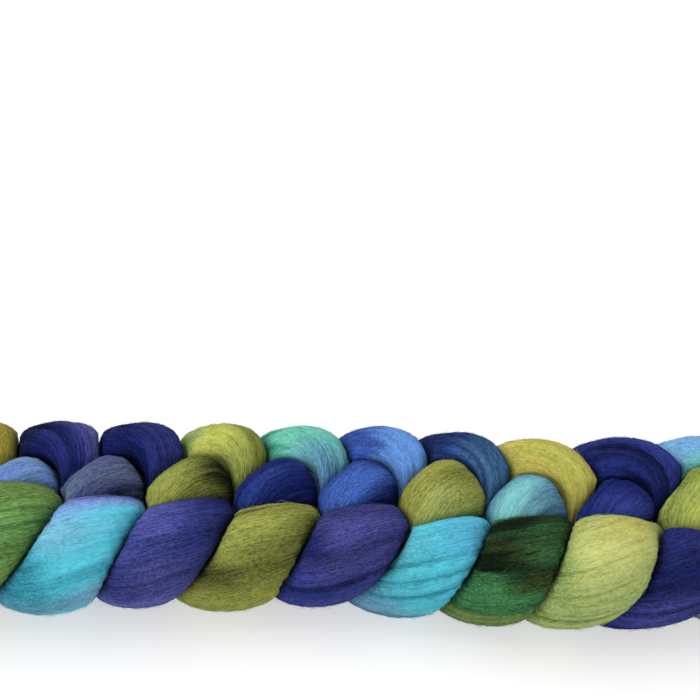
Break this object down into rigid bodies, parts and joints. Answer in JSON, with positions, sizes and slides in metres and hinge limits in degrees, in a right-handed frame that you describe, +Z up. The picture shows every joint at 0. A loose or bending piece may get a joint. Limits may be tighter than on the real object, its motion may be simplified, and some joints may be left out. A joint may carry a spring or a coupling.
{
  "type": "braid of wool roving",
  "caption": "Soft braid of dyed combed wool: one thick strand worked into a plain chain, with a tapered loose end at each end, lying flat.",
  "frame": {"origin": "middle of the underside, on the surface that the braid lies on", "axes": "+Z up; X along the chain, which starts at the +X end and grows towards -X; the far row of lobes is towards +Y"},
  "size_m": [0.706, 0.1089, 0.0639],
  "materials": {
    "wool": "soft dyed combed wool with a low silky sheen"
  },
  "bodies": {
    "root": {"braid": "wool"}
  },
  "joints": []
}
